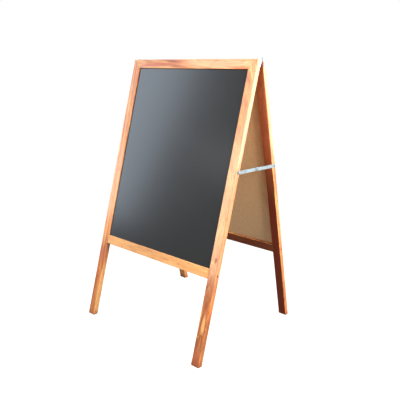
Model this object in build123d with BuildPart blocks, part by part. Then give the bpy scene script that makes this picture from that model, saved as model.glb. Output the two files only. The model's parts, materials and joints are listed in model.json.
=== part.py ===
"""Sandwich board: two timber frames with chalkboards, hinged at the top and held open by folding stays.

Millimetres. The front looks towards -Y, +X is the right side seen from the front, +Z is up and the
floor is Z = 0. The board is modelled standing open, with its stays straight. A place on a frame is
given by its drop, measured down the stiles from their tops, and by its depth, measured outwards from
a plane a little behind the frame, through the apex where the two frames' planes meet.
"""
import os
from math import cos, hypot, radians, sin, tan

from build123d import *

os.makedirs("parts", exist_ok=True)

# ---- driving dimensions: timber frames
board_width = 600
stile_length = 1040
half_angle = radians(14.5)
apex_gap = 3.8
timber_thickness = 18
stile_width = 34
top_rail_width = 34
bottom_rail_width = 34
bottom_rail_drop = 711
edge_radius = 1.5
foot_radius = 1.2

# ---- chalkboards
sheet_thickness = 0.8
backing_thickness = 3.2
face_recess = 5.0
groove_depth = 6.0

# ---- joints of the frames
dowel_radius = 2.5
dowel_length = 18.0
dowel_place = 0.62
dowel_setback = 4.6
rail_screw_radius = 2.4
rail_screw_head_radius = 4.4
rail_screw_length = 58.0
plug_radius = 5.0
plug_length = 9.0

# ---- hinges
axis_rise = 5.2
leaf_thickness = 1.6
leaf_width = 12.5
leaf_length = 22.0
leaf_inset = 0.6
leaf_neck_drop = 1.5
leaf_corner_radius = 2.5
leaf_shoulder_angle = radians(33)
eye_radius = 4.8
eye_gap = 0.2
ramp_width = 2.2
hinge_rivet_radius = 2.0
hinge_rivet_head_radius = 3.2
hinge_rivet_head_height = 1.2
hinge_screw_radius = 1.5
hinge_screw_head_radius = 2.8
hinge_screw_length = 12.0
hinge_screw_drops = (8.5, 17.0)

# ---- stays
stay_drop = 376
link_width = 12.0
link_thickness = 1.5
washer_thickness = 1.5
washer_radius = 5.5
swage_width = 4.5
swage_height = 0.5
swage_margin = 16.0
knee_rivet_radius = 2.4
knee_rivet_head_radius = 4.2
knee_rivet_head_height = 1.3
knee_rivet_tail_height = 0.9
lug_start = 4.0
lug_length = 5.5
lug_corner_angle = radians(45)
pivot_screw_radius = 2.2
pivot_screw_head_radius = 4.6
pivot_screw_head_height = 2.4
pivot_screw_length = 24.0

# ---- shares of a screw's or rivet's head
recess_reach = 1.2
recess_width = 0.24
recess_depth = 0.8
dome_rim = 0.25

# ---- clearances
panel_clearance = 0.1
panel_edge_gap = 0.9
running_clearance = 0.08
fixed_clearance = 0.04
hole_end_gap = 0.4
side_play = 0.1
knee_gap = 0.3
lug_clearance = 0.3

# ---- values worked out from them
half_width = board_width / 2
inner_x = half_width - stile_width
apex_height = stile_length * cos(half_angle) - apex_gap * sin(half_angle)
axis_drop = -axis_rise * cos(half_angle)
axis_depth = axis_rise * sin(half_angle)
face_depth = apex_gap + timber_thickness
middle_depth = apex_gap + timber_thickness / 2
sheet_depth = face_depth - face_recess - sheet_thickness
backing_depth = sheet_depth - backing_thickness
rail_screw_drop = bottom_rail_drop + bottom_rail_width / 2
leaf_back = apex_gap + leaf_inset
leaf_front = leaf_back + leaf_width
leaf_middle = leaf_back + leaf_width / 2
eye_step = leaf_thickness + eye_gap
link_radius = link_width / 2
front_link_x = half_width + washer_thickness + side_play
rear_link_x = front_link_x + link_thickness + knee_gap
stay_y = stay_drop * sin(half_angle) + middle_depth * cos(half_angle)
stay_z = apex_height - stay_drop * cos(half_angle) + middle_depth * sin(half_angle)

SIDES = {"left": -1, "right": 1}
FRAMES = {"front": 1, "rear": -1}


# ---- planes and shared shapes
def frame_plane(facing):
    """Plane of a frame: x across it, y up its stiles, z out of its face, origin at the apex."""
    return Plane(
        origin=(0, 0, apex_height),
        x_dir=(facing, 0, 0),
        z_dir=(0, -facing * cos(half_angle), sin(half_angle)),
    )


def edge_place(facing, side, drop, depth, x=half_width):
    """Plane at a place on a stile's outer side, or x from the middle, with z pointing outwards."""
    point = frame_plane(facing).from_local_coords(Vector(facing * side * x, -drop, depth))
    return Plane(origin=point, x_dir=frame_plane(facing).y_dir, z_dir=(side, 0, 0))


def stay_place(side, y, x, outwards=1):
    """Plane at a place along a stay, x from the middle, with z pointing away from the board or to it."""
    return Plane(origin=(side * x, y, stay_z), x_dir=(0, 1, 0), z_dir=(side * outwards, 0, 0))


def profile_plane(place):
    """Plane through the axis of a turned piece, where x is the radius and y the height along its axis."""
    return Plane(origin=place.origin, x_dir=place.x_dir, z_dir=-place.y_dir)


def turn_countersunk_screw(place, radius, head_radius, length, mode=Mode.ADD):
    """Turn a screw, or the hole for it, whose flat head lies on the place and whose tip is behind it."""
    with BuildSketch(profile_plane(place)) as profile:
        with BuildLine():
            Polyline(
                (0, 0),
                (head_radius, 0),
                (radius, radius - head_radius),
                (radius, 2 * radius - length),
                (0, -length),
                close=True,
            )
        make_face()
    revolve(profile.sketch, axis=Axis(place.origin, place.z_dir), mode=mode)


def turn_domed_pin(place, radius, head_radius, head_height, length):
    """Turn a pin with a domed head on the place and a plain shank behind it."""
    rim_height = dome_rim * head_height
    with BuildSketch(profile_plane(place)) as profile:
        with BuildLine():
            TangentArc((0, head_height), (head_radius, rim_height), tangent=(1, 0))
            Polyline(
                (head_radius, rim_height),
                (head_radius, 0),
                (radius, 0),
                (radius, -length),
                (0, -length),
                (0, head_height),
            )
        make_face()
    revolve(profile.sketch, axis=Axis(place.origin, place.z_dir))


def cut_cross_recess(place, head_radius, depth):
    """Cut a cross recess into a screw head from the place down."""
    reach, width = recess_reach * head_radius, recess_width * head_radius
    with BuildSketch(place) as cross:
        Rectangle(reach, width)
        Rectangle(width, reach)
    extrude(cross.sketch, amount=-depth, mode=Mode.SUBTRACT)


def extrude_disc(place, radius, length, mode=Mode.ADD):
    """Extrude a round pin, or the hole for it, from the place along its z."""
    with BuildSketch(place) as disc:
        Circle(radius)
    extrude(disc.sketch, amount=length, mode=mode)


# ---- timber frames
def cut_panel_groove(facing):
    """Cut the groove that the chalkboard's edges sit in, stopped below the bottom rail's top edge."""
    height = bottom_rail_drop - top_rail_width + 2 * groove_depth
    middle = (bottom_rail_drop + top_rail_width) / 2
    width = sheet_thickness + backing_thickness + 2 * panel_clearance
    with BuildSketch(frame_plane(facing).offset(backing_depth - panel_clearance)) as groove:
        with Locations((0, -middle)):
            Rectangle(2 * (inner_x + groove_depth), height)
    extrude(groove.sketch, amount=width, mode=Mode.SUBTRACT)


def extrude_dowel(facing, side, radius, length, mode=Mode.ADD):
    """Extrude the dowel across a mitred corner, or the hole for it."""
    frame = frame_plane(facing)
    local_side = facing * side
    mitre_length = hypot(stile_width, top_rail_width)
    centre = Vector(
        local_side * (half_width - dowel_place * stile_width),
        -dowel_place * top_rail_width,
        apex_gap + dowel_setback,
    )
    across = frame.x_dir * (local_side * top_rail_width / mitre_length) - frame.y_dir * (
        stile_width / mitre_length
    )
    with BuildSketch(Plane(origin=frame.from_local_coords(centre), z_dir=across)) as dowel:
        Circle(radius)
    extrude(dowel.sketch, amount=length / 2, both=True, mode=mode)


def cut_dowel_hole(facing, side):
    """Cut a mitre dowel's hole."""
    hole_length = dowel_length + 2 * hole_end_gap
    extrude_dowel(facing, side, dowel_radius + fixed_clearance, hole_length, Mode.SUBTRACT)


def cut_hinge_screw_holes(facing, side):
    """Cut the holes of a hinge leaf's screws."""
    for drop in hinge_screw_drops:
        place = edge_place(facing, side, drop, leaf_middle)
        depth = hinge_screw_length - leaf_thickness + hole_end_gap
        extrude_disc(place, hinge_screw_radius + fixed_clearance, -depth, Mode.SUBTRACT)


def cut_rail_screw_hole(facing, side):
    """Cut the plugged hole that leads a screw through the stile into the bottom rail's end."""
    outside = edge_place(facing, side, rail_screw_drop, middle_depth)
    extrude_disc(outside, plug_radius + fixed_clearance, -plug_length, Mode.SUBTRACT)
    seat = edge_place(facing, side, rail_screw_drop, middle_depth, half_width - plug_length)
    turn_countersunk_screw(
        seat,
        rail_screw_radius + fixed_clearance,
        rail_screw_head_radius + fixed_clearance,
        rail_screw_length + hole_end_gap,
        Mode.SUBTRACT,
    )


def make_stile(facing, side):
    """Make a stile: mitred at the top, cut flat on the floor at the foot, holes for what fastens to it."""
    frame = frame_plane(facing)
    local_side = facing * side
    past_floor = stile_length + timber_thickness
    with BuildPart() as stile:
        with BuildSketch(frame.offset(apex_gap)):
            with BuildLine():
                Polyline(
                    (local_side * half_width, 0),
                    (local_side * half_width, -past_floor),
                    (local_side * inner_x, -past_floor),
                    (local_side * inner_x, -top_rail_width),
                    close=True,
                )
            make_face()
        extrude(amount=timber_thickness)
        fillet(stile.edges().filter_by(Axis(frame.origin, frame.y_dir)), edge_radius)
        split(bisect_by=Plane.XY, keep=Keep.TOP)
        fillet(stile.faces().sort_by(Axis.Z)[0].edges(), foot_radius)
        cut_panel_groove(facing)
        cut_dowel_hole(facing, side)
        cut_hinge_screw_holes(facing, side)
        cut_rail_screw_hole(facing, side)
        pivot = edge_place(facing, side, stay_drop, middle_depth)
        extrude_disc(pivot, pivot_screw_radius + fixed_clearance, -pivot_screw_length, Mode.SUBTRACT)
    return stile.part


def make_top_rail(facing):
    """Make a top rail, mitred at both ends."""
    frame = frame_plane(facing)
    with BuildPart() as rail:
        with BuildSketch(frame.offset(apex_gap)):
            with BuildLine():
                Polyline(
                    (-half_width, 0),
                    (half_width, 0),
                    (inner_x, -top_rail_width),
                    (-inner_x, -top_rail_width),
                    close=True,
                )
            make_face()
        extrude(amount=timber_thickness)
        fillet(rail.edges().filter_by(Axis.X), edge_radius)
        cut_panel_groove(facing)
        for side in SIDES.values():
            cut_dowel_hole(facing, side)
            cut_hinge_screw_holes(facing, side)
    return rail.part


def make_bottom_rail(facing):
    """Make a bottom rail, butted between the stiles."""
    with BuildPart() as rail:
        with BuildSketch(frame_plane(facing).offset(apex_gap)):
            with Locations((0, -rail_screw_drop)):
                Rectangle(2 * inner_x, bottom_rail_width)
        extrude(amount=timber_thickness)
        fillet(rail.edges().filter_by(Axis.X), edge_radius)
        cut_panel_groove(facing)
        for side in SIDES.values():
            cut_rail_screw_hole(facing, side)
    return rail.part


def make_board(facing, depth, thickness):
    """Make one layer of a chalkboard, from a depth outwards."""
    reach = groove_depth - panel_edge_gap
    with BuildPart() as board:
        with BuildSketch(frame_plane(facing).offset(depth)):
            with Locations((0, -(bottom_rail_drop + top_rail_width) / 2)):
                Rectangle(2 * (inner_x + reach), bottom_rail_drop - top_rail_width + 2 * reach)
        extrude(amount=thickness)
    return board.part


def make_mitre_dowels(facing):
    """Make the two dowels in a frame's mitred corners."""
    with BuildPart() as dowels:
        for side in SIDES.values():
            extrude_dowel(facing, side, dowel_radius, dowel_length)
    return dowels.part


def make_rail_screws(facing):
    """Make the two screws that hold a bottom rail."""
    with BuildPart() as screws:
        for side in SIDES.values():
            head = edge_place(facing, side, rail_screw_drop, middle_depth, half_width - plug_length)
            turn_countersunk_screw(head, rail_screw_radius, rail_screw_head_radius, rail_screw_length)
            cut_cross_recess(head, rail_screw_head_radius, rail_screw_radius)
    return screws.part


def make_plugs(facing):
    """Make the two wooden plugs over a bottom rail's screws."""
    with BuildPart() as plugs:
        for side in SIDES.values():
            outside = edge_place(facing, side, rail_screw_drop, middle_depth)
            extrude_disc(outside, plug_radius, fixed_clearance - plug_length)
    return plugs.part


# ---- hinges
def make_leaf(facing, side):
    """Make a hinge leaf; the rear leaf steps outwards round its eye to pass over the front leaf's eye."""
    steps_out = facing == FRAMES["rear"]
    place = edge_place(facing, side, axis_drop, axis_depth)
    plate = Plane(
        origin=edge_place(facing, side, 0, 0).origin,
        x_dir=frame_plane(facing).z_dir,
        z_dir=(-facing, 0, 0),
    )
    outwards = -facing * side
    eye = Vector(axis_depth, -axis_drop)
    shoulder = eye + eye_radius * Vector(sin(leaf_shoulder_angle), cos(leaf_shoulder_angle))
    shoulder_drop = (leaf_front - shoulder.X) * tan(leaf_shoulder_angle) - shoulder.Y
    clearance = running_clearance if steps_out else fixed_clearance
    with BuildPart() as leaf:
        with BuildSketch(plate):
            with BuildLine():
                Polyline(
                    (eye.X, eye.Y),
                    (shoulder.X, shoulder.Y),
                    (leaf_front, -shoulder_drop),
                    (leaf_front, -leaf_length),
                    (leaf_back, -leaf_length),
                    (leaf_back, -leaf_neck_drop),
                    close=True,
                )
            body = make_face()
            fillet(body.vertices().sort_by(Axis.Y)[:2], leaf_corner_radius)
            with Locations(eye):
                Circle(eye_radius)
        extrude(amount=outwards * (eye_step + leaf_thickness if steps_out else leaf_thickness))
        if steps_out:
            eye_edge = eye_radius + eye_gap
            ramp_end = eye_edge + ramp_width
            with BuildSketch(profile_plane(place)):
                with BuildLine():
                    Polyline(
                        (0, eye_step),
                        (eye_edge, eye_step),
                        (ramp_end, 0),
                        (2 * leaf_length, 0),
                        (2 * leaf_length, leaf_thickness),
                        (ramp_end + eye_gap, leaf_thickness),
                        (eye_edge + eye_gap, eye_step + leaf_thickness),
                        (0, eye_step + leaf_thickness),
                        close=True,
                    )
                make_face()
            revolve(axis=Axis(place.origin, place.z_dir), mode=Mode.INTERSECT)
        extrude_disc(place, hinge_rivet_radius + clearance, eye_step + leaf_thickness, Mode.SUBTRACT)
        for drop in hinge_screw_drops:
            turn_countersunk_screw(
                edge_place(facing, side, drop, leaf_middle, half_width + leaf_thickness),
                hinge_screw_radius + fixed_clearance,
                hinge_screw_head_radius + fixed_clearance,
                hinge_screw_length,
                Mode.SUBTRACT,
            )
    return leaf.part


def make_hinge_screws(facing):
    """Make the screws of a frame's two hinge leaves."""
    with BuildPart() as screws:
        for side in SIDES.values():
            for drop in hinge_screw_drops:
                head = edge_place(facing, side, drop, leaf_middle, half_width + leaf_thickness)
                turn_countersunk_screw(
                    head, hinge_screw_radius, hinge_screw_head_radius, hinge_screw_length
                )
                cut_cross_recess(head, hinge_screw_head_radius, hinge_screw_radius)
    return screws.part


def make_hinge_rivets():
    """Make the two rivets that the rear leaves turn on, domed outside and spread inside."""
    grip = eye_step + leaf_thickness + side_play
    with BuildPart() as rivets:
        for side in SIDES.values():
            outer = edge_place(FRAMES["front"], side, axis_drop, axis_depth, half_width + grip)
            turn_domed_pin(
                outer, hinge_rivet_radius, hinge_rivet_head_radius, hinge_rivet_head_height, grip
            )
            inner = edge_place(FRAMES["front"], side, axis_drop, axis_depth)
            extrude_disc(inner, hinge_rivet_head_radius, -hinge_rivet_head_height)
    return rivets.part


# ---- stays
def make_front_link(side):
    """Make a stay's front link: a flat bar with a pressed groove along it."""
    place = stay_place(side, 0, front_link_x)
    across = (-stay_y / 2, 0)
    swage_length = stay_y - 2 * swage_margin
    with BuildPart() as link:
        with BuildSketch(place):
            with Locations(across):
                SlotCenterToCenter(stay_y, link_width)
        extrude(amount=link_thickness)
        with BuildSketch(place.offset(link_thickness)):
            with Locations(across):
                SlotOverall(swage_length, swage_width)
        extrude(amount=-swage_height, mode=Mode.SUBTRACT)
        with BuildSketch(place):
            with Locations(across):
                SlotOverall(swage_length + 2 * swage_height, swage_width + 2 * swage_height)
        extrude(amount=-swage_height)
        pivot = stay_place(side, -stay_y, front_link_x)
        extrude_disc(pivot, pivot_screw_radius + running_clearance, link_thickness, Mode.SUBTRACT)
        extrude_disc(place, knee_rivet_radius + fixed_clearance, link_thickness, Mode.SUBTRACT)
    return link.part


def make_rear_link(side):
    """Make a stay's rear link: a flat bar whose lug turns in over the front link and stops the knee."""
    place = stay_place(side, 0, rear_link_x)
    lug_end = lug_start + lug_length
    lug_low = link_radius + lug_clearance
    lug_top = lug_low + link_thickness
    with BuildPart() as link:
        with BuildSketch(place):
            with Locations((stay_y / 2, 0)):
                SlotCenterToCenter(stay_y, link_width)
            with BuildLine():
                Polyline(
                    (0, 0),
                    (0, side * link_radius),
                    (-lug_start, side * lug_top),
                    (-lug_end, side * lug_top),
                    (-lug_end, 0),
                    (-link_radius * sin(lug_corner_angle), -side * link_radius * cos(lug_corner_angle)),
                    close=True,
                )
            make_face()
        extrude(amount=link_thickness)
        with BuildSketch(place):
            with Locations((-lug_start - lug_length / 2, side * (lug_low + lug_top) / 2)):
                Rectangle(lug_length, link_thickness)
        extrude(amount=-(knee_gap + link_thickness))
        pivot = stay_place(side, stay_y, rear_link_x)
        extrude_disc(pivot, pivot_screw_radius + running_clearance, link_thickness, Mode.SUBTRACT)
        extrude_disc(place, knee_rivet_radius + fixed_clearance, link_thickness, Mode.SUBTRACT)
    return link.part


def make_knee_rivet(side):
    """Make the head end of a knee rivet, which stays with the rear link."""
    with BuildPart() as rivet:
        turn_domed_pin(
            stay_place(side, 0, rear_link_x + link_thickness),
            knee_rivet_radius,
            knee_rivet_head_radius,
            knee_rivet_head_height,
            link_thickness,
        )
    return rivet.part


def make_knee_rivet_tail(side):
    """Make the spread end of a knee rivet, which stays with the front link."""
    with BuildPart() as tail:
        turn_domed_pin(
            stay_place(side, 0, front_link_x, -1),
            knee_rivet_radius,
            knee_rivet_head_radius,
            knee_rivet_tail_height,
            link_thickness,
        )
    return tail.part


def make_pivot_screws(facing, link_x):
    """Make the two pan-head screws that a frame's stay links turn on."""
    with BuildPart() as screws:
        for side in SIDES.values():
            head_x = link_x + link_thickness + side_play
            head = stay_place(side, -facing * stay_y, head_x)
            length = head_x - half_width + pivot_screw_length - hole_end_gap
            turn_domed_pin(
                head, pivot_screw_radius, pivot_screw_head_radius, pivot_screw_head_height, length
            )
            cut_cross_recess(
                head.offset(pivot_screw_head_height),
                pivot_screw_head_radius,
                recess_depth * pivot_screw_head_height,
            )
    return screws.part


def make_spacers(facing, thickness):
    """Make the two washers or collars that hold a frame's stay links off its stiles."""
    with BuildPart() as spacers:
        for side in SIDES.values():
            place = stay_place(side, -facing * stay_y, half_width)
            extrude_disc(place, washer_radius, thickness)
            extrude_disc(place, pivot_screw_radius + fixed_clearance, thickness, Mode.SUBTRACT)
    return spacers.part


def save(part, name):
    """Label a finished piece and write it."""
    part.label = name
    export_step(part, f"parts/{name}.step")


for frame_name, facing in FRAMES.items():
    for side_name, side in SIDES.items():
        save(make_stile(facing, side), f"{frame_name}_{side_name}_stile")
        save(make_leaf(facing, side), f"{frame_name}_{side_name}_hinge_leaf")
    save(make_top_rail(facing), f"{frame_name}_top_rail")
    save(make_bottom_rail(facing), f"{frame_name}_bottom_rail")
    save(make_board(facing, sheet_depth, sheet_thickness), f"{frame_name}_chalk_sheet")
    save(make_board(facing, backing_depth, backing_thickness), f"{frame_name}_backing_board")
    save(make_mitre_dowels(facing), f"{frame_name}_mitre_dowels")
    save(make_rail_screws(facing), f"{frame_name}_rail_screws")
    save(make_plugs(facing), f"{frame_name}_plugs")
    save(make_hinge_screws(facing), f"{frame_name}_hinge_screws")

save(make_hinge_rivets(), "hinge_rivets")

for side_name, side in SIDES.items():
    save(make_front_link(side), f"{side_name}_stay_front_link")
    save(make_rear_link(side), f"{side_name}_stay_rear_link")
    save(make_knee_rivet(side), f"{side_name}_knee_rivet")
    save(make_knee_rivet_tail(side), f"{side_name}_knee_rivet_tail")

save(make_pivot_screws(FRAMES["front"], front_link_x), "front_pivot_screws")
save(make_pivot_screws(FRAMES["rear"], rear_link_x), "rear_pivot_screws")
save(make_spacers(FRAMES["front"], washer_thickness), "front_washers")
save(make_spacers(FRAMES["rear"], rear_link_x - side_play - half_width), "rear_collars")
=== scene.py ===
"""Sandwich board: finishes for the timber, chalkboards and zinc fittings, and the studio round them.

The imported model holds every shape, in metres: X across the board, -Y the front, Z up, floor at Z = 0.
Each operator finishes one group of its pieces, and the last one builds floor, lights and camera.
"""
import json
from math import radians

import bpy
import numpy as np
from mathutils import Euler, Matrix, Vector


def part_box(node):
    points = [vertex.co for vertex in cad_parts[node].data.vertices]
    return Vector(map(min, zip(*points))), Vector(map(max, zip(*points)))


bl_info = {
    "name": "Sandwich Board",
    "version": (1, 0, 0),
    "blender": (4, 5, 0),
    "location": "3D View > Sidebar > Sandwich Board",
    "description": "Finishes a folding sandwich board with oiled timber, chalkboard and zinc",
    "category": "Material",
}

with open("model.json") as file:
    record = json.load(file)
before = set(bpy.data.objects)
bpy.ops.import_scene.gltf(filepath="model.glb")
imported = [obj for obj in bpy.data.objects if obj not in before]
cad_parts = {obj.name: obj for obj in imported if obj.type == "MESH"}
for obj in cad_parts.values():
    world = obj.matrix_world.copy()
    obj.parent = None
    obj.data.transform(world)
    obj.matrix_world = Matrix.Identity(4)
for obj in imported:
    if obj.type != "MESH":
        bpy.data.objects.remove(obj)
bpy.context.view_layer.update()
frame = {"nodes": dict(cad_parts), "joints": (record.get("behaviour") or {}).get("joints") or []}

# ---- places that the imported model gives
fold = next(joint for joint in frame["joints"] if joint["name"] == "frame_fold")
half_angle = radians(fold["range_deg"][1]) / 2
FACINGS = {"front": -1, "rear": 1}
SIDES = ("left", "right")


def frame_turn(facing):
    """Turn of a frame's own axes: X across it, Z up its stiles, Y through its timber."""
    return Matrix.Rotation(facing * half_angle, 3, "X")


def own_box(node, turn):
    """Lowest and highest corner of a node along turned axes: its points times the turn, as one array."""
    mesh = frame["nodes"][node].data
    points = np.empty(3 * len(mesh.vertices), np.float32)
    mesh.vertices.foreach_get("co", points)
    own = points.reshape(-1, 3) @ np.array(turn)
    return Vector(own.min(axis=0).tolist()), Vector(own.max(axis=0).tolist())


# The ridge where the frames' inner planes meet, level with the tops of the stiles.
ridge_level = own_box("front_top_rail", frame_turn(-1))[1].z
ridge_depth = own_box("front_top_rail", frame_turn(-1))[1].y
fold_ridge = frame_turn(-1) @ Vector((0.0, ridge_depth, ridge_level))
fold_ridge.y = 0.0


# ---- node trees
class Finish:
    """A material's node tree, with short ways to add the nodes that the finishes are made of."""

    def __init__(self, name):
        self.material = bpy.data.materials.new(name)
        self.material.use_nodes = True
        self.tree = self.material.node_tree
        self.tree.nodes.clear()
        self.place = self.add("TexCoord", {}).outputs["Object"]

    def add(self, kind, inputs, **settings):
        """Add a node. An input that is another node's output is linked, and any other is set."""
        node = self.tree.nodes.new("ShaderNode" + kind)
        for name, value in settings.items():
            setattr(node, name, value)
        for key, value in inputs.items():
            if isinstance(value, bpy.types.NodeSocket):
                self.tree.links.new(value, node.inputs[key])
            else:
                node.inputs[key].default_value = value
        return node

    def sum(self, operation, *values, clamp=False):
        """Work out one number from others."""
        node = self.add("Math", dict(enumerate(values)), operation=operation, use_clamp=clamp)
        return node.outputs[0]

    def vector(self, operation, *values, output="Vector"):
        """Work out one vector from others."""
        node = self.add("VectorMath", dict(enumerate(values)), operation=operation)
        return node.outputs[output]

    def turned(self, place, centre, turn):
        """Coordinates along turned axes from a centre."""
        inputs = {"Vector": place, "Location": centre, "Rotation": turn}
        return self.add("Mapping", inputs, vector_type="TEXTURE").outputs[0]

    def parts(self, place):
        """The three numbers of a vector."""
        return self.add("SeparateXYZ", {0: place}).outputs

    def noise(self, place, scale, detail, roughness, output=0):
        """Noise stretched by a scale for each axis, in features per metre: a number, or a colour."""
        stretched = self.vector("MULTIPLY", place, scale)
        inputs = {"Vector": stretched, "Scale": 1.0, "Detail": detail, "Roughness": roughness}
        return self.add("TexNoise", inputs, noise_dimensions="3D").outputs[output]

    def span(self, value, low, high, start=0.0, end=1.0, smooth=True):
        """A number carried from one span to another, and held at its ends."""
        inputs = {"Value": value, "From Min": low, "From Max": high, "To Min": start, "To Max": end}
        blend = "SMOOTHSTEP" if smooth else "LINEAR"
        return self.add("MapRange", inputs, interpolation_type=blend, clamp=True).outputs[0]

    def mix(self, factor, first, second, blend="MIX"):
        """Mix two colours."""
        colours = [c if isinstance(c, bpy.types.NodeSocket) else (*c[:3], 1.0) for c in (first, second)]
        node = self.add(
            "Mix", {0: factor, 6: colours[0], 7: colours[1]}, data_type="RGBA", blend_type=blend
        )
        return node.outputs[2]

    def shade(self, colour, factor):
        """A colour made lighter or darker by a number."""
        return self.vector("SCALE", colour, (0.0, 0.0, 0.0), (0.0, 0.0, 0.0), factor)

    def ramp(self, value, stops):
        """Colours picked along a ramp of (place, colour) stops."""
        node = self.add("ValToRGB", {0: value})
        node.color_ramp.interpolation = "EASE"
        elements = node.color_ramp.elements
        while len(elements) < len(stops):
            elements.new(0.5)
        for element, (place, colour) in zip(elements, stops):
            element.position = place
            element.color = (*colour[:3], 1.0)
        return node.outputs[0]

    def bump(self, height, relief, strength):
        """A surface normal from a height between 0 and 1 and its relief in metres."""
        inputs = {"Height": height, "Distance": relief, "Strength": strength}
        return self.add("Bump", inputs).outputs[0]

    def surface(self, **inputs):
        """Close the tree with a shader, whose inputs are named with underscores for spaces."""
        names = {key.replace("_", " "): value for key, value in inputs.items()}
        shader = self.add("BsdfPrincipled", names)
        self.add("OutputMaterial", {"Surface": shader.outputs[0]})

    def put_on(self, *nodes):
        """Give the finish to every material slot of some nodes."""
        for node in nodes:
            for slot in frame["nodes"][node].material_slots:
                slot.material = self.material


# ---- settings
def colour_setting(name, description, default):
    """A colour that the user can change."""
    return bpy.props.FloatVectorProperty(
        name=name, description=description, default=default, size=3, min=0.0, max=1.0, subtype="COLOR"
    )


def length_setting(name, description, default):
    """A length that the user can change, in metres."""
    return bpy.props.FloatProperty(
        name=name, description=description, default=default, min=0.0, unit="LENGTH", precision=5
    )


def share_setting(name, description, default):
    """A share between nothing and all that the user can change."""
    return bpy.props.FloatProperty(
        name=name, description=description, default=default, min=0.0, max=1.0, subtype="FACTOR"
    )


def power_setting(name, description, default):
    """A light's power that the user can change, in watts."""
    return bpy.props.FloatProperty(
        name=name, description=description, default=default, min=0.0, unit="POWER"
    )


class TimberSettings(bpy.types.PropertyGroup):
    """Oiled hardwood of the stiles and rails."""

    streak: colour_setting("Streak", "Darkest growth bands", (0.17, 0.042, 0.015))
    heartwood: colour_setting("Heartwood", "Most of the timber", (0.375, 0.130, 0.040))
    honey: colour_setting("Honey", "Lightest growth bands", (0.58, 0.30, 0.105))
    blush: colour_setting("Blush", "Red patches in the timber", (0.38, 0.090, 0.036))
    russet: colour_setting("Russet", "Deep orange timber low on the stiles", (0.46, 0.115, 0.018))
    # Painted highlight: pale, less saturated timber laid on the front stiles, the top rail and the upper
    # outer sides, where the light falls brightest.
    bleached: colour_setting("Bleached", "Timber paled by the sun", (0.42, 0.25, 0.15))
    # Painted shade: this dark colour stands in for the shade that falls on the faces between the frames.
    painted_inner_shade: colour_setting("Dark heart", "Dark wood on faces between the frames", (0.125, 0.018, 0.005))
    knot: colour_setting("Knot", "Heart of a knot", (0.13, 0.04, 0.018))
    band: length_setting("Band", "Spacing of the growth bands", 0.0060)
    wander: length_setting("Wander", "How far the grain leaves a straight line", 0.024)
    relief: length_setting("Relief", "Depth of pores and fibres", 0.0003)
    roughness: share_setting("Roughness", "Roughness of the oiled face", 0.40)
    wear: share_setting("Wear", "How much the handled edges have lightened", 0.4)


class BoardSettings(bpy.types.PropertyGroup):
    """Chalkboards and their backing."""

    paint: colour_setting("Paint", "Chalkboard paint", (0.0105, 0.0105, 0.0105))
    chalk: colour_setting("Chalk", "Wiped chalk dust", (0.30, 0.31, 0.32))
    haze: share_setting("Haze", "How much dust the wiped chalk left", 0.006)
    paint_roughness: share_setting("Paint roughness", "Roughness of the chalkboard", 0.225)
    backing: colour_setting("Backing", "Pale fibres of the hardboard", (0.73, 0.49, 0.27))
    backing_dark: colour_setting("Backing, dark", "Dark fibres of the hardboard", (0.62, 0.39, 0.20))
    # The hardboard turns darker and redder towards this colour along its side edges, next to the stiles.
    edge_darkening: colour_setting("Oil stain", "Hardboard that took oil from the frame", (0.50, 0.20, 0.085))


class FittingSettings(bpy.types.PropertyGroup):
    """Zinc plated hinges, stays and fasteners."""

    zinc: colour_setting("Zinc", "Clean zinc plate", (0.70, 0.82, 0.86))
    dull_zinc: colour_setting("Dull zinc", "Zinc plate gone dull", (0.44, 0.54, 0.57))
    zinc_roughness: share_setting("Zinc roughness", "Roughness of the plate", 0.30)


class StudioSettings(bpy.types.PropertyGroup):
    """Floor, lights and camera."""

    floor: colour_setting("Floor", "Pale studio floor", (0.90, 0.90, 0.90))
    floor_radius: length_setting("Floor radius", "Radius of the floor", 9.0)
    key_power: power_setting("Key light", "Light beside the right stile", 92.0)
    rim_power: power_setting("Rim light", "Light behind the right stile", 21.0)
    front_power: power_setting("Front light", "Light above the camera", 98.0)
    back_power: power_setting("Back light", "Light above the rear board", 80.0)
    window_power: power_setting("Window light", "Cool light that the chalkboard mirrors", 36.0)
    lamp_power: power_setting("Lamp", "Small lamp mirrored at the right of the chalkboard", 0.7)
    window_tint: colour_setting("Window tint", "Colour of the window light", (0.72, 0.85, 1.00))
    ambient: share_setting("Ambient", "Light that the white surroundings give", 0.5)
    floor_return: share_setting("Floor return", "Share of the light that the floor throws back", 0.12)
    floor_glow: share_setting("Floor glow", "How much of the floor's shadows is lit away", 0.80)
    camera_place: bpy.props.FloatVectorProperty(
        name="Camera", description="Place of the camera", default=(1.28202, -1.42519, 0.94654),
        subtype="TRANSLATION", unit="LENGTH",
    )
    camera_turn: bpy.props.FloatVectorProperty(
        name="Camera turn", description="Yaw, tilt down and roll of the camera",
        default=(radians(40.972), radians(13.623), radians(1.394)), subtype="EULER", unit="ROTATION",
    )
    lens: bpy.props.FloatProperty(
        name="Lens", description="Focal length of the camera", default=45.37, unit="CAMERA"
    )


class SandwichBoardSettings(bpy.types.PropertyGroup):
    """Everything about the sandwich board that can be changed."""

    timber: bpy.props.PointerProperty(type=TimberSettings)
    board: bpy.props.PointerProperty(type=BoardSettings)
    fitting: bpy.props.PointerProperty(type=FittingSettings)
    studio: bpy.props.PointerProperty(type=StudioSettings)


# ---- timber
# Each noise: features per metre across a piece, through it and along it, then its detail and roughness.
WANDER = ((13.0, 13.0, 2.6), 2.0, 0.5)
FIBRES = ((650.0, 650.0, 9.0), 3.0, 0.65)
PORES = ((1500.0, 1500.0, 45.0), 1.0, 0.5)
PATCHES = ((24.0, 24.0, 5.5), 2.0, 0.6)
DASHES = ((300.0, 300.0, 26.0), 3.0, 0.65)
RUBBING = ((90.0, 90.0, 28.0), 3.0, 0.7)
SCUFFS = ((60.0, 60.0, 60.0), 3.0, 0.6)

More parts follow.
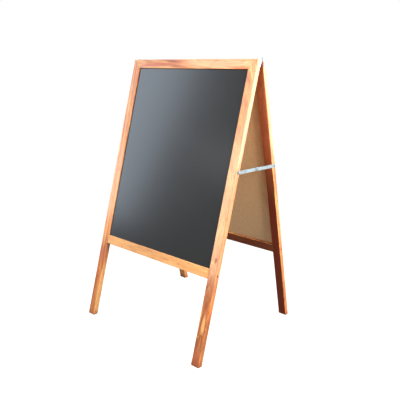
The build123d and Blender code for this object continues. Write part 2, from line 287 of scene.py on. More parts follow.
# Lengths and levels are in metres.
SEED_STEP = 2.7  # how much further the seed moves the noise through a piece than across it
KNOT_REACH = (1.0, 3.0, 1.5)  # a knot's reach across, through and along the piece, in its radii
KNOT_SWELL = 1.6  # how far a knot pushes the growth bands out, in bands
KNOT_SHARE = 0.65
RUBBED_REACH = 0.0032  # how far a handled edge is rubbed
END_GRAIN_SHADE = 0.62
FOOT_SCUFF = 0.03  # how far the stain of a foot creeps up where it is scuffed
FOOT_STAIN_HEIGHT = 0.012
FOOT_STAIN_SHARE = 0.55
INNER_SHADE_TOP = -0.20  # level above the ridge at which the painted shade between the frames starts
INNER_SHADE_FULL = -0.62  # level from which that painted shade is as dark as it gets
GLUE_LINE = 0.0004  # half the width of a glue line
GLUE_LINE_FADE = 0.0013
GLUE_LINE_SHARE = 0.55


class Member:
    """A stile or rail: its node, its own axes (X and Y across the grain, Z along it) and its log."""

    def __init__(self, facing, name, seed, pith, slant, tone=(), knots=(), patches=(), painted_inner_shade_share=0.0):
        self.node = f"{facing}_{name}"
        self.facing = FACINGS[facing]
        self.seed = seed
        self.pith = pith
        self.slant = slant
        self.tone = tone
        self.knots = knots
        self.patches = patches
        self.painted_inner_shade_share = painted_inner_shade_share
        turn = frame_turn(self.facing)
        if name.endswith("rail"):
            turn = turn @ Matrix(((0, 0, 1), (0, 1, 0), (-1, 0, 0)))
        low, high = own_box(self.node, turn)
        self.centre = turn @ ((low + high) / 2)
        self.half = (high - low) / 2
        self.turn = turn.to_euler()
        self.along = turn @ Vector((0, 0, 1))
        self.inward = turn @ Vector((0, -self.facing, 0))


def closeness(finish, own, place, reach):
    """1 at a place, 0 away from it: e to minus the square of the distance, in reaches along each axis."""
    inputs = {"Vector": own, "Location": place, "Scale": reach}
    way = finish.add("Mapping", inputs, vector_type="TEXTURE").outputs[0]
    squared = finish.vector("DOT_PRODUCT", way, way, output="Value")
    return finish.sum("EXPONENT", finish.sum("MULTIPLY", squared, -1.0))


def from_ridge(finish, facing):
    """Place from the middle of the ridge: across the board, through its frame and up the stiles."""
    return finish.turned(finish.place, fold_ridge, frame_turn(facing).to_euler())


def oil_timber(settings, member):
    """Oiled hardwood: growth bands round a pith outside the piece, bent by noise and by its knots."""
    finish = Finish(f"oiled_{member.node}")
    own = finish.turned(finish.place, member.centre, member.turn)
    seeded = finish.vector("ADD", own, (member.seed, SEED_STEP * member.seed, 0.0))

    wander = finish.noise(seeded, *WANDER, output="Color")
    wander = finish.vector("MULTIPLY_ADD", wander, (settings.wander,) * 3, (-settings.wander / 2,) * 3)
    log_place = {
        "Vector": finish.vector("ADD", own, wander),
        "Location": (*member.pith, 0.0),
        "Rotation": member.slant,
    }
    in_log = finish.add("Mapping", log_place, vector_type="POINT").outputs[0]
    flat = finish.vector("MULTIPLY", in_log, (1.0, 1.0, 0.0))
    radius = finish.vector("LENGTH", flat, output="Value")
    knots = [
        closeness(finish, own, place, [size * share for share in KNOT_REACH])
        for place, size in member.knots
    ]
    for near in knots:
        radius = finish.sum("MULTIPLY_ADD", near, KNOT_SWELL * settings.band, radius)

    x, y, z = finish.parts(own)
    growth = finish.add("CombineXYZ", {0: radius, 1: member.seed, 2: z}).outputs[0]
    per_band = 1.0 / settings.band
    bands = finish.noise(growth, (per_band, 1.0, 2.2), 3.0, 0.6)
    lines = finish.noise(growth, (6.0 * per_band, 1.0, 5.0), 2.0, 0.6)
    fibres = finish.noise(seeded, *FIBRES)
    pores = finish.span(finish.noise(seeded, *PORES), 0.60, 0.72)

    tint = finish.sum("MULTIPLY_ADD", lines, 0.45, finish.sum("MULTIPLY", bands, 0.72))
    tint = finish.sum("MULTIPLY_ADD", fibres, 0.14, tint)
    colour = finish.ramp(
        tint,
        (
            (0.50, settings.streak),
            (0.61, settings.heartwood),
            (0.68, settings.heartwood),
            (0.79, settings.honey),
        ),
    )
    patches = finish.noise(seeded, *PATCHES)
    colour = finish.mix(finish.span(patches, 0.50, 0.68, 0.0, 0.55), colour, settings.blush)
    colour = finish.mix(finish.span(patches, 0.46, 0.30, 0.0, 0.45), colour, settings.honey)
    # Patches of colour; those of the pale colour are painted highlight where the light falls brightest.
    for place, reach, shade, share in member.patches:
        near = closeness(finish, finish.vector("ADD", own, wander), place, reach)
        near = finish.sum("MULTIPLY_ADD", bands, 0.45, near)
        near = finish.sum("MULTIPLY_ADD", lines, 0.55, near)
        near = finish.span(near, 0.74, 1.22, 0.0, share)
        colour = finish.mix(near, colour, getattr(settings, shade))
    # Lightness along the piece: partly the timber's own tone and partly painted light and shade, as at the
    # lightened low end of the rear left stile, which lies in shade.
    if member.tone:
        share = finish.span(z, -member.half.z, member.half.z, smooth=False)
        tone = finish.ramp(share, [(place, (value / 2,) * 3) for place, value in member.tone])
        colour = finish.shade(colour, finish.sum("MULTIPLY", tone, 2.0))
    colour = finish.shade(colour, finish.span(fibres, 0.25, 0.75, 0.86, 1.12))
    bent = finish.vector("ADD", seeded, wander)
    dashes = finish.span(finish.noise(bent, *DASHES), 0.52, 0.68)
    colour = finish.mix(finish.sum("MULTIPLY", dashes, 0.60), colour, settings.streak)
    colour = finish.mix(finish.sum("MULTIPLY", pores, 0.45), colour, settings.streak, "MULTIPLY")
    for near in knots:
        rim = finish.span(finish.sum("ADD", near, finish.sum("MULTIPLY", lines, 0.25)), 0.62, 0.95)
        colour = finish.mix(finish.sum("MULTIPLY", rim, KNOT_SHARE), colour, settings.knot)

    normal = finish.add("TexCoord", {}).outputs["Normal"]
    facing_end = finish.vector("DOT_PRODUCT", normal, member.along, output="Value")
    end_grain = finish.span(finish.sum("ABSOLUTE", facing_end), 0.62, 0.85)
    colour = finish.shade(colour, finish.span(end_grain, 0.0, 1.0, 1.0, END_GRAIN_SHADE))
    # Painted shade: faces between the frames turn dark towards the bottom, standing in for the shade
    # there.
    if member.painted_inner_shade_share:
        facing_in = finish.vector("DOT_PRODUCT", normal, member.inward, output="Value")
        inner = finish.span(facing_in, 0.7, 0.9)
        up = finish.parts(from_ridge(finish, member.facing))[2]
        depth = finish.span(up, INNER_SHADE_TOP, INNER_SHADE_FULL, 0.05, member.painted_inner_shade_share)
        depth = finish.sum("MULTIPLY_ADD", bands, 0.25, depth)
        colour = finish.mix(finish.sum("MULTIPLY", inner, depth, clamp=True), colour, settings.painted_inner_shade)

    to_side = finish.sum("SUBTRACT", member.half.x, finish.sum("ABSOLUTE", x))
    to_face = finish.sum("SUBTRACT", member.half.y, finish.sum("ABSOLUTE", y))
    near_side = finish.span(to_side, 0.0, RUBBED_REACH, 1.0, 0.0)
    near_face = finish.span(to_face, 0.0, RUBBED_REACH, 1.0, 0.0)
    rubbing = finish.span(finish.noise(seeded, *RUBBING), 0.40, 0.62)
    edge = finish.sum("MULTIPLY", finish.sum("MULTIPLY", near_side, near_face), rubbing)
    edge = finish.sum("MULTIPLY", edge, settings.wear)
    colour = finish.mix(edge, colour, settings.honey)

    colour = finish.mix(joint_line(finish, member), colour, settings.knot)
    height = finish.parts(finish.place)[2]
    scuff = finish.noise(seeded, *SCUFFS)
    foot = finish.sum("MULTIPLY_ADD", scuff, -FOOT_SCUFF, height)
    foot = finish.span(foot, -FOOT_STAIN_HEIGHT, FOOT_STAIN_HEIGHT, FOOT_STAIN_SHARE, 0.0)
    colour = finish.mix(foot, colour, settings.streak)

    rough = finish.sum("MULTIPLY_ADD", fibres, 0.22, settings.roughness - 0.11)
    rough = finish.sum("MULTIPLY_ADD", edge, 0.2, rough)
    rough = finish.sum("MULTIPLY_ADD", end_grain, 0.25, rough, clamp=True)
    grain = finish.sum("MULTIPLY_ADD", lines, 0.35, fibres)
    grain = finish.sum("MULTIPLY_ADD", pores, -0.8, grain)
    finish.surface(
        Base_Color=colour,
        Roughness=rough,
        Normal=finish.bump(grain, settings.relief, 0.6),
        # Little gloss where the painted shade between the frames is, so that it stays dark.
        Specular_IOR_Level=0.2 if member.painted_inner_shade_share else 0.5,
        Coat_Weight=0.0 if member.painted_inner_shade_share else 0.15,
        Coat_Roughness=0.30,
    )
    return finish


def joint_line(finish, member):
    """The glue line of a mitred corner, where the drop equals the way in from the side, or of a butt."""
    across, _, up = finish.parts(from_ridge(finish, member.facing))
    half_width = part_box("front_top_rail")[1][0]
    way_in = finish.sum("SUBTRACT", half_width, finish.sum("ABSOLUTE", across))
    if member.node.endswith("bottom_rail"):
        gap = finish.sum("SUBTRACT", way_in, half_width - member.half.z)
    else:
        gap = finish.sum("ADD", way_in, up)
    gap = finish.sum("ABSOLUTE", gap)
    return finish.span(gap, GLUE_LINE, GLUE_LINE_FADE, GLUE_LINE_SHARE, 0.0)


# Each row: facing, piece, seed, pith (across and through the piece, in metres from its middle) and slant
# of the log, then tone and painted light (share of the way along, lightness), knots (place, radius),
# patches (place, reach, colour, share) and how dark the painted shade is on the face between the frames.
MEMBERS = (
    (
        "front", "left_stile", 0.31, (0.055, 0.020), (0.03, 0.05, 0.0),
        (
            (0.0, 0.80), (0.19, 0.86), (0.25, 0.80), (0.36, 1.15),
            (0.46, 1.4), (0.60, 1.15), (0.75, 0.9), (1.0, 0.8),
        ),
        (),
        (
            ((0.009, -0.009, -0.40), (0.006, 0.012, 0.090), "honey", 0.8),
            ((0.000, -0.009, 0.020), (0.050, 0.016, 0.160), "bleached", 0.35),
            ((0.000, -0.009, -0.420), (0.050, 0.030, 0.150), "russet", 0.45),
            ((-0.008, -0.009, -0.27), (0.011, 0.05, 0.045), "blush", 0.8),
            ((-0.012, -0.009, -0.43), (0.007, 0.05, 0.080), "streak", 0.5),
            ((0.017, 0.000, -0.42), (0.005, 0.05, 0.130), "honey", 0.8),
        ),
    ),
    (
        "front", "right_stile", 1.70, (0.012, 0.050), (-0.07, 0.03, 0.0),
        (
            (0.0, 0.70), (0.10, 1.0), (0.20, 0.95), (0.26, 0.80), (0.33, 1.2),
            (0.45, 1.35), (0.66, 1.2), (0.80, 1.12), (1.0, 1.14),
        ),
        (
            ((0.004, -0.009, -0.155), 0.0085),
            ((-0.009, -0.009, -0.422), 0.0035),
            ((0.013, -0.004, -0.462), 0.0040),
        ),
        (
            ((0.000, -0.009, 0.020), (0.050, 0.012, 0.160), "honey", 0.35),
            ((0.000, -0.009, 0.010), (0.060, 0.016, 0.270), "bleached", 0.6),
            ((0.000, -0.009, 0.400), (0.060, 0.016, 0.300), "bleached", 0.3),
            ((0.017, 0.000, 0.400), (0.012, 0.030, 0.280), "bleached", 0.5),
            ((0.017, 0.000, 0.000), (0.006, 0.050, 0.200), "blush", 0.7),
            ((0.017, 0.000, -0.410), (0.008, 0.030, 0.170), "russet", 0.6),
            ((0.003, -0.009, -0.375), (0.009, 0.012, 0.048), "honey", 0.9),
            ((-0.004, -0.009, -0.300), (0.014, 0.05, 0.032), "streak", 0.55),
            ((-0.010, -0.009, -0.440), (0.006, 0.05, 0.016), "streak", 0.6),
            ((-0.002, -0.009, -0.495), (0.020, 0.05, 0.035), "blush", 0.8),
            ((0.017, 0.000, -0.405), (0.004, 0.05, 0.075), "streak", 0.7),
        ),
    ),
    (
        "front", "top_rail", 2.90, (0.020, 0.045), (0.05, -0.06, 0.0),
        ((0.0, 0.75), (0.38, 0.75), (0.52, 1.1), (0.75, 1.2), (1.0, 1.4)),
        (),
        (
            ((0.004, -0.009, -0.16), (0.006, 0.05, 0.110), "blush", 0.9),
            ((-0.002, -0.009, 0.14), (0.020, 0.05, 0.190), "bleached", 0.6),
        ),
    ),
    (
        "front", "bottom_rail", 4.15, (-0.040, 0.030), (0.06, 0.04, 0.0),
        ((0.0, 0.95), (0.4, 0.85), (0.7, 1.0), (1.0, 1.15)),
        (),
        (((0.0, 0.0, 0.0), (0.1, 0.1, 0.5), "honey", 0.55),),
    ),
    (
        "rear", "left_stile", 5.35, (0.030, -0.045), (0.04, -0.05, 0.0),
        # Lightened low end: painted light where the stile lies in shade.
        ((0.0, 1.5), (0.3, 1.1), (1.0, 1.0)),
    ),
    (
        "rear", "right_stile", 6.60, (-0.030, 0.040), (-0.05, 0.04, 0.0),
        (
            (0.0, 1.2), (0.15, 1.0), (0.25, 1.15), (0.40, 0.8),
            (0.56, 1.0), (0.66, 1.25), (0.80, 1.25), (0.90, 1.5),
        ),
        (),
        (
            ((0.017, 0.000, 0.400), (0.012, 0.030, 0.260), "bleached", 0.6),
            ((0.000, -0.009, 0.350), (0.050, 0.007, 0.300), "blush", 0.85),
        ),
        # Painted shade on the face between the frames.
        0.95,
    ),
    ("rear", "top_rail", 7.85, (0.015, 0.055), (-0.04, 0.05, 0.0)),
    # Painted shade on the face between the frames of the rear bottom rail.
    ("rear", "bottom_rail", 9.10, (0.050, 0.025), (0.05, 0.05, 0.0), (), (), (), 0.70),
)


class SANDWICH_BOARD_OT_oil_timber(bpy.types.Operator):
    """Oil the stiles and rails of both frames, each cut from a log of its own"""

    bl_idname = "sandwich_board.oil_timber"
    bl_label = "Timber"

    def execute(self, context):
        for row in MEMBERS:
            member = Member(*row)
            oil_timber(context.scene.sandwich_board.timber, member).put_on(member.node)
        return {"FINISHED"}


# Along X, Y and Z, on the plugs' and dowels' ends.
END_BEND = ((220.0, 220.0, 220.0), 2.0, 0.5)
END_RINGS = ((60.0, 900.0, 260.0), 3.0, 0.6)
END_PORES = ((1600.0, 1600.0, 1600.0), 1.0, 0.5)
END_BEND_REACH = 0.004


class SANDWICH_BOARD_OT_finish_plugs(bpy.types.Operator):
    """Give the plugs and dowels their end grain"""

    bl_idname = "sandwich_board.finish_plugs"
    bl_label = "Plugs and Dowels"

    def execute(self, context):
        timber = context.scene.sandwich_board.timber
        for name, dark, light, kind in (
            ("plug_end_grain", timber.knot, timber.streak, "plugs"),
            ("dowel_end_grain", timber.heartwood, timber.honey, "mitre_dowels"),
        ):
            finish = Finish(name)
            bent = finish.noise(finish.place, *END_BEND, output="Color")
            bent = finish.vector("MULTIPLY_ADD", bent, (END_BEND_REACH,) * 3, finish.place)
            rings = finish.noise(bent, *END_RINGS)
            pores = finish.span(finish.noise(finish.place, *END_PORES), 0.58, 0.70)
            colour = finish.mix(finish.span(rings, 0.35, 0.65), dark, light)
            colour = finish.mix(finish.sum("MULTIPLY", pores, 0.6), colour, timber.knot)
            finish.surface(
                Base_Color=colour,
                Roughness=finish.span(rings, 0.3, 0.7, 0.45, 0.62),
                Normal=finish.bump(finish.sum("SUBTRACT", rings, pores), timber.relief, 0.6),
            )
            finish.put_on(*(f"{facing}_{kind}" for facing in FACINGS))
        return {"FINISHED"}


# ---- chalkboards
# Each noise is given as for the timber, and lengths are in metres.
WIPES = ((3.0, 3.0, 11.0), 2.0, 0.5)
WIPE_SLANT = 0.5  # slant of the wiping marks, in radians
WIPE_START = (3.1, 1.0, 0.4)
DUST_CLOUDS = ((7.0, 7.0, 6.0), 3.0, 0.55)
TOOTH = ((1100.0, 1100.0, 1100.0), 2.0, 0.6)
TOOTH_RELIEF = 0.00003
LEDGE_LOW = 0.006  # dust lies thickest up to this far above the sheet's bottom edge
LEDGE_HIGH = 0.050  # and there is no more of it from here up
LEDGE_SHARE = 0.6

FELT = ((210.0, 210.0, 170.0), 4.0, 0.7)
FELT_RELIEF = 0.00025
SHIVES = ((480.0, 480.0, 130.0), 2.0, 0.5)
EDGE_WOBBLE = ((55.0, 55.0, 22.0), 3.0, 0.6)
EDGE_WOBBLE_REACH = 0.02
EDGE_DARK_START = 0.024  # how far inside the board's edge the darker band starts
EDGE_DARK_END = 0.006  # how far outside the edge it would be at its full share
EDGE_DARK_SHARE = 0.75
BACKING_PAINTED_LIGHT = (-0.70, -0.25, 0.82, 1.25)  # levels above the ridge, and the lightness at each: painted light and shade, lighter high up, darker low between the frames


class SANDWICH_BOARD_OT_paint_chalkboards(bpy.types.Operator):
    """Paint the writing faces: fine tooth, wiping marks and a little dust along the bottom"""

    bl_idname = "sandwich_board.paint_chalkboards"
    bl_label = "Chalkboards"

    def execute(self, context):
        settings = context.scene.sandwich_board.board
        for facing, side in FACINGS.items():
            node = f"{facing}_chalk_sheet"
            turn = frame_turn(side)
            low, high = own_box(node, turn)
            finish = Finish(f"painted_{node}")
            own = finish.turned(finish.place, turn @ ((low + high) / 2), turn.to_euler())
            half_height = (high.z - low.z) / 2
            slant = (0.0, side * WIPE_SLANT, 0.0)
            wiped = {"Vector": own, "Rotation": slant, "Location": WIPE_START}
            wiped = finish.add("Mapping", wiped, vector_type="POINT").outputs[0]
            strokes = finish.noise(wiped, *WIPES)
            clouds = finish.noise(own, *DUST_CLOUDS)
            tooth = finish.noise(own, *TOOTH)
            up = finish.parts(own)[2]
            ledge = finish.span(up, LEDGE_LOW - half_height, LEDGE_HIGH - half_height, 1.0, 0.0)
            dust = finish.sum("MULTIPLY", finish.span(strokes, 0.42, 0.78), finish.span(clouds, 0.35, 0.7))
            dust = finish.sum("MULTIPLY_ADD", finish.sum("MULTIPLY", ledge, strokes), LEDGE_SHARE, dust)
            dust = finish.sum("MULTIPLY", dust, settings.haze)
            dust = finish.sum("MULTIPLY", dust, finish.span(tooth, 0.3, 0.7, 0.7, 1.3), clamp=True)
            colour = finish.mix(dust, settings.paint, settings.chalk)
            colour = finish.shade(colour, finish.span(tooth, 0.3, 0.7, 0.92, 1.08))
            rough = finish.sum("MULTIPLY_ADD", strokes, 0.03, settings.paint_roughness - 0.015)
            rough = finish.sum("MULTIPLY_ADD", dust, 1.0, rough, clamp=True)
            finish.surface(
                Base_Color=colour,
                Roughness=rough,
                Normal=finish.bump(tooth, TOOTH_RELIEF, 0.4),
                Specular_IOR_Level=0.5,
            )
            finish.put_on(node)
        return {"FINISHED"}


class SANDWICH_BOARD_OT_finish_backing(bpy.types.Operator):
    """Give the hardboard behind each writing face its pressed fibres"""

    bl_idname = "sandwich_board.finish_backing"
    bl_label = "Backing Boards"

    def execute(self, context):
        settings = context.scene.sandwich_board.board
        for facing, side in FACINGS.items():
            node = f"{facing}_backing_board"
            finish = Finish(f"pressed_{node}")
            own = from_ridge(finish, side)
            felt = finish.noise(own, *FELT)
            shives = finish.span(finish.noise(own, *SHIVES), 0.62, 0.74)
            colour = finish.mix(finish.span(felt, 0.32, 0.68), settings.backing_dark, settings.backing)
            colour = finish.mix(finish.sum("MULTIPLY", shives, 0.25), colour, settings.backing_dark)
            across, _, up = finish.parts(own)
            # Darker, redder band along the side edges, wobbling with noise.
            edge_wobble = finish.noise(own, *EDGE_WOBBLE)
            way_out = finish.sum("MULTIPLY_ADD", edge_wobble, EDGE_WOBBLE_REACH, finish.sum("ABSOLUTE", across))
            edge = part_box(node)[1][0]
            edge_dark = finish.span(way_out, edge - EDGE_DARK_START, edge + EDGE_DARK_END, 0.0, EDGE_DARK_SHARE)
            colour = finish.mix(edge_dark, colour, settings.edge_darkening)
            # Painted light and shade: the hardboard lighter towards the top and darker low down between
            # the frames, where less light reaches.
            colour = finish.shade(colour, finish.span(up, *BACKING_PAINTED_LIGHT, smooth=False))
            finish.surface(
                Base_Color=colour,
                Roughness=finish.span(felt, 0.3, 0.7, 0.62, 0.80),
                Normal=finish.bump(felt, FELT_RELIEF, 0.6),
                Specular_IOR_Level=0.35,
            )
            finish.put_on(node)
        return {"FINISHED"}


# ---- zinc fittings
# Scratches per metre along X, Y and Z, and painted shade: how much darker the hinge and stay plate is made
# than the fasteners, to hold down how brightly it mirrors the lights.
HINGE_SCRATCHES = (700.0, 700.0, 90.0)
STAY_SCRATCHES = (700.0, 45.0, 700.0)
FASTENER_SCRATCHES = (600.0, 600.0, 600.0)
HINGE_PAINTED_SHADE = 0.66
STAY_PAINTED_SHADE = 0.47

CRYSTALS = 420.0  # crystals per metre
CRYSTAL_BEND = ((300.0, 300.0, 300.0), 2.0, 0.5)
CRYSTAL_BEND_REACH = 0.003
DULL_CLOUDS = ((95.0, 95.0, 95.0), 3.0, 0.6)
ZINC_RELIEF = 0.00004


def plate_with_zinc(settings, name, scratches, nodes, painted_brightness):
    """Zinc plate: crystals, fine scratches along one direction and dull patches."""
    finish = Finish(name)
    bent = finish.noise(finish.place, *CRYSTAL_BEND, output="Color")
    bent = finish.vector("MULTIPLY_ADD", bent, (CRYSTAL_BEND_REACH,) * 3, finish.place)
    crystals = finish.add("TexVoronoi", {"Vector": bent, "Scale": CRYSTALS}).outputs["Color"]
    crystal = finish.parts(crystals)[0]
    drawn = finish.noise(finish.place, scratches, 3.0, 0.7)
    clouds = finish.noise(finish.place, *DULL_CLOUDS)
    dull = finish.sum("MULTIPLY_ADD", crystal, 0.22, finish.span(clouds, 0.42, 0.72, 0.0, 0.75))
    colour = finish.mix(dull, settings.zinc, settings.dull_zinc)
    # Painted shade: hinges and stays get darker copies of the same zinc.
    colour = finish.shade(colour, finish.span(drawn, 0.3, 0.7, 0.88 * painted_brightness, 1.06 * painted_brightness))
    rough = finish.sum("MULTIPLY_ADD", drawn, 0.20, settings.zinc_roughness - 0.10)
    rough = finish.sum("MULTIPLY_ADD", dull, 0.16, rough, clamp=True)
    finish.surface(
        Base_Color=colour,
        Metallic=1.0,
        Roughness=rough,
        Normal=finish.bump(finish.sum("ADD", drawn, clouds), ZINC_RELIEF, 0.5),
    )
    finish.put_on(*nodes)


class SANDWICH_BOARD_OT_plate_hinges(bpy.types.Operator):
    """Plate the hinge leaves and their rivets with zinc"""

    bl_idname = "sandwich_board.plate_hinges"
    bl_label = "Hinges"

    def execute(self, context):
        leaves = [f"{facing}_{side}_hinge_leaf" for facing in FACINGS for side in SIDES]
        settings = context.scene.sandwich_board.fitting
        plate_with_zinc(
            settings, "zinc_hinges", HINGE_SCRATCHES, (*leaves, "hinge_rivets"), HINGE_PAINTED_SHADE
        )
        return {"FINISHED"}


class SANDWICH_BOARD_OT_plate_stays(bpy.types.Operator):
    """Plate the folding stays and their knee rivets with zinc"""

    bl_idname = "sandwich_board.plate_stays"
    bl_label = "Stays"

    def execute(self, context):
        kinds = ("stay_front_link", "stay_rear_link", "knee_rivet", "knee_rivet_tail")
        nodes = [f"{side}_{kind}" for side in SIDES for kind in kinds]
        settings = context.scene.sandwich_board.fitting
        plate_with_zinc(settings, "zinc_stays", STAY_SCRATCHES, nodes, STAY_PAINTED_SHADE)
        return {"FINISHED"}


class SANDWICH_BOARD_OT_plate_fasteners(bpy.types.Operator):
    """Plate the screws, washers and collars with zinc"""

    bl_idname = "sandwich_board.plate_fasteners"
    bl_label = "Fasteners"

    def execute(self, context):
        kinds = ("hinge_screws", "rail_screws", "pivot_screws")
        nodes = [f"{facing}_{kind}" for facing in FACINGS for kind in kinds]
        settings = context.scene.sandwich_board.fitting
        nodes += ["front_washers", "rear_collars"]
        plate_with_zinc(settings, "zinc_fasteners", FASTENER_SCRATCHES, nodes, 1.0)
        return {"FINISHED"}


# ---- studio
FLOOR_RINGS = 12
FLOOR_SPOKES = 96
SENSOR_WIDTH = 36.0
CAMERA_REACH = 50.0
PLAIN = (1.0, 1.0, 1.0)
MOTTLE = ((3.0, 3.0, 3.0), 3.0, 0.6)
MOTTLE_REACH = 0.2
FLOOR_FADE_START = 0.7  # how far from the middle the floor starts to turn into the surroundings
FLOOR_FADE_END = 1.5


def floor_disc(radius, rings, spokes):
    """A round floor: x = r cos a, y = r sin a, with r growing as the square of the ring's share."""
    share = np.linspace(0.0, 1.0, rings + 1)[1:] ** 2
    angle = np.linspace(0.0, 2.0 * np.pi, spokes, endpoint=False)
    reach, turn = np.meshgrid(radius * share, angle, indexing="ij")
    points = np.stack((reach * np.cos(turn), reach * np.sin(turn), np.zeros_like(reach)), axis=-1)
    points = np.vstack((np.zeros((1, 3)), points.reshape(-1, 3)))
    ring, spoke = np.meshgrid(np.arange(rings - 1), np.arange(spokes), indexing="ij")
    after = (spoke + 1) % spokes
    corners = np.stack((ring * spokes + spoke, ring * spokes + spokes + spoke,
                        ring * spokes + spokes + after, ring * spokes + after), axis=-1) + 1
    first = np.arange(spokes)
    middle = np.stack((np.zeros_like(first), first + 1, (first + 1) % spokes + 1), axis=-1)
    mesh = bpy.data.meshes.new("studio_floor")
    mesh.from_pydata(points.tolist(), [], middle.tolist() + corners.reshape(-1, 4).tolist())
    return mesh


def area_light(name, power, place, target, size, tint, mirrored):
    """A soft light that looks at a target and isn't seen itself, except mirrored where that is wanted."""
    light = bpy.data.lights.new(name, "AREA")
    light.shape = "RECTANGLE"
    light.energy = power
    light.size, light.size_y = size
    light.color = tint
    holder = bpy.data.objects.new(name, light)
    holder.location = place
    holder.rotation_euler = (Vector(target) - Vector(place)).to_track_quat("-Z", "Y").to_euler()
    holder.visible_camera = False
    holder.visible_glossy = mirrored
    bpy.context.scene.collection.objects.link(holder)


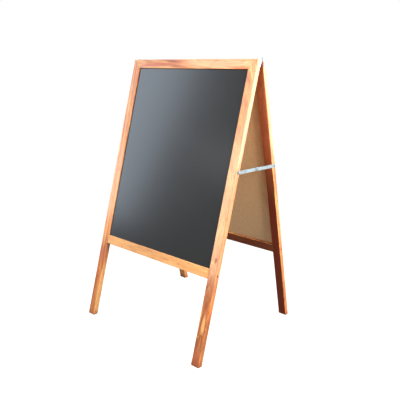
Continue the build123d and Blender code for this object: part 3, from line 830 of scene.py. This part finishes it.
class SANDWICH_BOARD_OT_build_studio(bpy.types.Operator):
    """Build the pale floor, the soft lights, the white surroundings and the camera"""

    bl_idname = "sandwich_board.build_studio"
    bl_label = "Studio"

    def execute(self, context):
        settings = context.scene.sandwich_board.studio
        scene = context.scene
        disc = floor_disc(settings.floor_radius, FLOOR_RINGS, FLOOR_SPOKES)
        floor = bpy.data.objects.new("studio_floor", disc)
        scene.collection.objects.link(floor)
        floor.data.materials.append(self.floor_paint(settings))

        world = bpy.data.worlds.new("studio")
        world.use_nodes = True
        tree = world.node_tree
        tree.nodes.clear()
        seen = tree.nodes.new("ShaderNodeLightPath").outputs["Is Camera Ray"]
        white = tree.nodes.new("ShaderNodeMath")
        white.operation = "MAXIMUM"
        white.inputs[1].default_value = settings.ambient
        tree.links.new(seen, white.inputs[0])
        glow = tree.nodes.new("ShaderNodeBackground")
        glow.inputs["Color"].default_value = (1.0, 1.0, 1.0, 1.0)
        tree.links.new(white.outputs[0], glow.inputs["Strength"])
        out = tree.nodes.new("ShaderNodeOutputWorld")
        tree.links.new(glow.outputs[0], out.inputs["Surface"])
        scene.world = world

        for light in self.lights(settings):
            area_light(*light)

        lens = bpy.data.cameras.new("studio_camera")
        lens.sensor_width = SENSOR_WIDTH
        lens.lens = settings.lens
        lens.clip_end = CAMERA_REACH
        camera = bpy.data.objects.new("studio_camera", lens)
        scene.collection.objects.link(camera)
        yaw, tilt, roll = settings.camera_turn
        turn = Euler((radians(90.0) - tilt, 0.0, yaw)).to_matrix() @ Matrix.Rotation(roll, 3, "Z")
        camera.matrix_world = Matrix.Translation(Vector(settings.camera_place)) @ turn.to_4x4()
        scene.camera = camera
        scene.view_settings.view_transform = "Standard"
        return {"FINISHED"}

    @staticmethod
    def lights(settings):
        """Each light's name, power, place, target, size and tint, and whether the board mirrors it."""
        return (
            (
                "key_light", settings.key_power,
                (1.70, -0.15, 1.25), (0.3, 0.0, 0.80), (0.6, 0.6), PLAIN, False,
            ),
            (
                "rim_light", settings.rim_power,
                (1.50, 1.10, 0.95), (0.3, 0.0, 0.80), (1.0, 1.3), PLAIN, True,
            ),
            (
                "front_light", settings.front_power,
                (0.20, -1.90, 2.00), (0.0, -0.1, 0.80), (1.0, 1.0), PLAIN, False,
            ),
            (
                "back_light", settings.back_power,
                (-0.40, 2.00, 2.00), (0.0, 0.1, 0.80), (1.0, 1.0), PLAIN, False,
            ),
            (
                "window_light", settings.window_power,
                (-2.47, -1.58, 1.42), (0.0, -0.1, 0.65), (1.2, 1.9), settings.window_tint, True,
            ),
            (
                "lamp_light", settings.lamp_power,
                (-1.56, -2.32, 1.38), (0.2, -0.1, 0.75), (0.35, 0.35), PLAIN, True,
            ),
        )

    @staticmethod
    def floor_paint(settings):
        """Pale paint with faint shadows, which turns into the white of the surroundings further out."""
        finish = Finish("studio_floor")
        mottle = finish.noise(finish.place, *MOTTLE)
        way = finish.vector("LENGTH", finish.place, output="Value")
        paint = finish.add("BsdfDiffuse", {"Roughness": 0.0, "Color": (*settings.floor, 1.0)})
        white = finish.add("Emission", {"Color": (1.0, 1.0, 1.0, 1.0), "Strength": 1.0})
        far = finish.sum("MULTIPLY_ADD", mottle, MOTTLE_REACH, way)
        far = finish.span(far, FLOOR_FADE_START, FLOOR_FADE_END, settings.floor_glow, 1.0)
        shown = finish.add("MixShader", {0: far, 1: paint.outputs[0], 2: white.outputs[0]}).outputs[0]
        thrown = finish.add("BsdfDiffuse", {"Color": (settings.floor_return,) * 3 + (1.0,)}).outputs[0]
        seen = finish.add("LightPath", {}).outputs["Is Camera Ray"]
        mixed = finish.add("MixShader", {0: seen, 1: thrown, 2: shown}).outputs[0]
        behind = finish.add("NewGeometry", {}).outputs["Backfacing"]
        clear = finish.add("BsdfTransparent", {}).outputs[0]
        mixed = finish.add("MixShader", {0: behind, 1: mixed, 2: clear}).outputs[0]
        finish.add("OutputMaterial", {"Surface": mixed})
        return finish.material


# ---- add-on
OPERATORS = (
    SANDWICH_BOARD_OT_oil_timber,
    SANDWICH_BOARD_OT_finish_plugs,
    SANDWICH_BOARD_OT_paint_chalkboards,
    SANDWICH_BOARD_OT_finish_backing,
    SANDWICH_BOARD_OT_plate_hinges,
    SANDWICH_BOARD_OT_plate_stays,
    SANDWICH_BOARD_OT_plate_fasteners,
    SANDWICH_BOARD_OT_build_studio,
)


class SANDWICH_BOARD_PT_finishes(bpy.types.Panel):
    """The sandwich board's settings and the operators that use them"""

    bl_idname = "SANDWICH_BOARD_PT_finishes"
    bl_label = "Sandwich Board"
    bl_space_type = "VIEW_3D"
    bl_region_type = "UI"
    bl_category = "Sandwich Board"

    def draw(self, context):
        settings = context.scene.sandwich_board
        for group in (settings.timber, settings.board, settings.fitting, settings.studio):
            box = self.layout.box()
            for name in group.bl_rna.properties.keys():
                if name not in ("rna_type", "name"):
                    box.prop(group, name)
        for operator in OPERATORS:
            self.layout.operator(operator.bl_idname)


CLASSES = (
    TimberSettings,
    BoardSettings,
    FittingSettings,
    StudioSettings,
    SandwichBoardSettings,
    *OPERATORS,
    SANDWICH_BOARD_PT_finishes,
)


def register():
    """Add the classes and the scene's settings."""
    for each in CLASSES:
        bpy.utils.register_class(each)
    bpy.types.Scene.sandwich_board = bpy.props.PointerProperty(type=SandwichBoardSettings)


def unregister():
    """Take the settings and classes away again."""
    del bpy.types.Scene.sandwich_board
    for each in reversed(CLASSES):
        bpy.utils.unregister_class(each)


def main():
    """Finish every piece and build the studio."""
    register()
    for operator in OPERATORS:
        group, name = operator.bl_idname.split(".")
        getattr(getattr(bpy.ops, group), name)()


if __name__ == "__main__":
    main()
